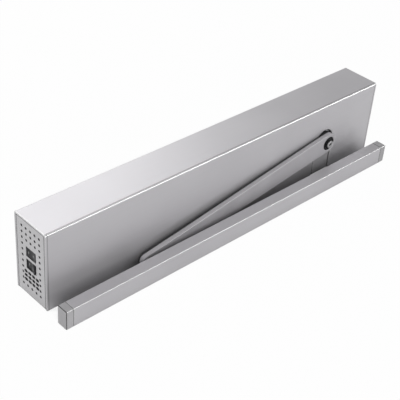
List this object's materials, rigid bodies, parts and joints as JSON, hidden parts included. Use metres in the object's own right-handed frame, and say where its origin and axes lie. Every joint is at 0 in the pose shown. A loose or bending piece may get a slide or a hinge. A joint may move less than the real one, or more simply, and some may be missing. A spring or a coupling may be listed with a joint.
{
  "type": "swing door operator",
  "caption": "Flat surface-mounted swing door operator with a silver extruded cover, a cranked drive arm and a long guide track.",
  "frame": {"origin": "centre of the wall-mounting face of the mounting plate", "axes": "+X along the cover towards the drive end, +Y away from the side that carries the arm, +Z away from the wall"},
  "size_m": [0.687, 0.1165, 0.13],
  "materials": {
    "silver_anodised": "matt silver anodised extrusion",
    "silver_plastic": "silver painted moulding",
    "grey_plastic": "grey moulding",
    "silver_paint": "satin silver paint",
    "zinc_steel": "zinc plated sheet",
    "cast_alloy": "die cast, blasted",
    "gear_steel": "ground steel",
    "spring_steel": "coated spring wire",
    "bearing_steel": "polished bearing steel",
    "bright_screw": "bright zinc",
    "dark_steel": "black oxide",
    "bronze": "sintered bronze",
    "motor_paint": "black lacquer",
    "magnet": "ferrite",
    "lamination": "stacked steel sheet",
    "circuit_board": "green solder resist",
    "terminal_green": "green moulding",
    "relay_blue": "blue moulding",
    "transformer_yellow": "varnished tape",
    "black_plastic": "fine texture",
    "rocker_black": "glossy moulding",
    "slider_plastic": "low-friction moulding",
    "black_rubber": "soft rubber"
  },
  "bodies": {
    "housing": {"mounting_plate": "zinc_steel", "cover_hood": "silver_anodised", "slot_cover": "grey_plastic", "cable_grommet": "black_rubber", "end_cap_plain_side": "silver_plastic", "end_cap_switch_side": "silver_plastic", "switch_housing": "black_plastic", "drive_housing": "cast_alloy", "drive_lid": "cast_alloy", "lid_screws": "bright_screw", "motor_screws": "bright_screw", "front_bearing": "bearing_steel", "rear_bearing": "bearing_steel", "front_bush": "bronze", "rear_bush": "bronze", "motor_can": "motor_paint", "motor_end_plate": "cast_alloy", "motor_magnets": "magnet", "encoder_board": "circuit_board", "spring_seat": "gear_steel", "spring_tube": "cast_alloy", "spring_adjuster": "gear_steel", "tube_saddle": "cast_alloy", "tube_screws": "bright_screw", "closing_spring": "spring_steel", "supply_case": "zinc_steel", "supply_board": "circuit_board", "transformer": "transformer_yellow", "capacitors": "black_plastic", "control_tray": "black_plastic", "control_board": "circuit_board", "terminal_blocks": "terminal_green", "relays": "relay_blue", "processor": "black_plastic", "cap_screws": "bright_screw", "plate_screws": "bright_screw"},
    "spindle": {"output_spindle": "gear_steel", "sector_gear": "gear_steel", "heart_cam": "gear_steel", "drive_arm": "silver_paint", "hub_washer": "dark_steel", "hub_screw": "bright_screw", "block_pin": "gear_steel"},
    "slide_block": {"slide_block": "slider_plastic"},
    "guide_track": {"guide_track": "silver_anodised", "track_cap_left": "grey_plastic", "track_cap_right": "grey_plastic", "track_buffer": "black_rubber"},
    "reduction_gear": {"gear_shaft": "gear_steel", "reduction_wheel": "gear_steel"},
    "rotor": {"rotor_shaft": "gear_steel", "rotor_core": "lamination", "encoder_disc": "dark_steel"},
    "plunger": {"spring_plunger": "gear_steel", "roller_pin": "gear_steel"},
    "cam_roller": {"cam_roller": "bearing_steel"},
    "program_rocker": {"program_rocker": "rocker_black"},
    "power_rocker": {"power_rocker": "rocker_black"}
  },
  "joints": [
    {"name": "spindle_turn", "type": "hinge", "parent": "housing", "child": "spindle", "pos_m": [0.22004, 0, 0.061], "axis": [0, 1, 0], "range_deg": [0, 130]},
    {"name": "block_swivel", "type": "hinge", "parent": "spindle", "child": "slide_block", "pos_m": [-0.17725, -0.06, 0.0145], "axis": [0, 1, 0], "range_deg": [-60, 60]},
    {"name": "track_slide", "type": "slide", "parent": "slide_block", "child": "guide_track", "axis": [1, 0, 0], "range_m": [-0.4692, 0.1118]},
    {"name": "gear_turn", "type": "hinge", "parent": "housing", "child": "reduction_gear", "pos_m": [0.26804, 0, 0.061], "axis": [0, 1, 0], "range_deg": [-390, 0]},
    {"name": "rotor_turn", "type": "hinge", "parent": "housing", "child": "rotor", "pos_m": [0.3006, 0, 0.08832], "axis": [0, 1, 0], "range_deg": [0, 1820]},
    {"name": "plunger_slide", "type": "slide", "parent": "housing", "child": "plunger", "axis": [-1, 0, 0], "range_m": [0, 0.01801], "deforming": ["closing_spring"]},
    {"name": "roller_turn", "type": "hinge", "parent": "plunger", "child": "cam_roller", "pos_m": [0.19804, 0, 0.061], "axis": [0, 1, 0], "range_deg": [-360, 0]},
    {"name": "program_tilt", "type": "hinge", "parent": "housing", "child": "program_rocker", "pos_m": [-0.3376, 0, 0.076], "axis": [0, 0, 1], "range_deg": [-10, 10]},
    {"name": "power_tilt", "type": "hinge", "parent": "housing", "child": "power_rocker", "pos_m": [-0.3376, 0, 0.055], "axis": [0, 0, 1], "range_deg": [0, 20]}
  ],
  "couplings": [
    {"joint": "gear_turn", "follows": "spindle_turn", "ratio": -3},
    {"joint": "rotor_turn", "follows": "spindle_turn", "ratio": 14},
    {"joint": "plunger_slide", "follows": "spindle_turn", "m_per_rad": 0.0079333},
    {"joint": "roller_turn", "follows": "spindle_turn", "ratio": -2.75}
  ]
}
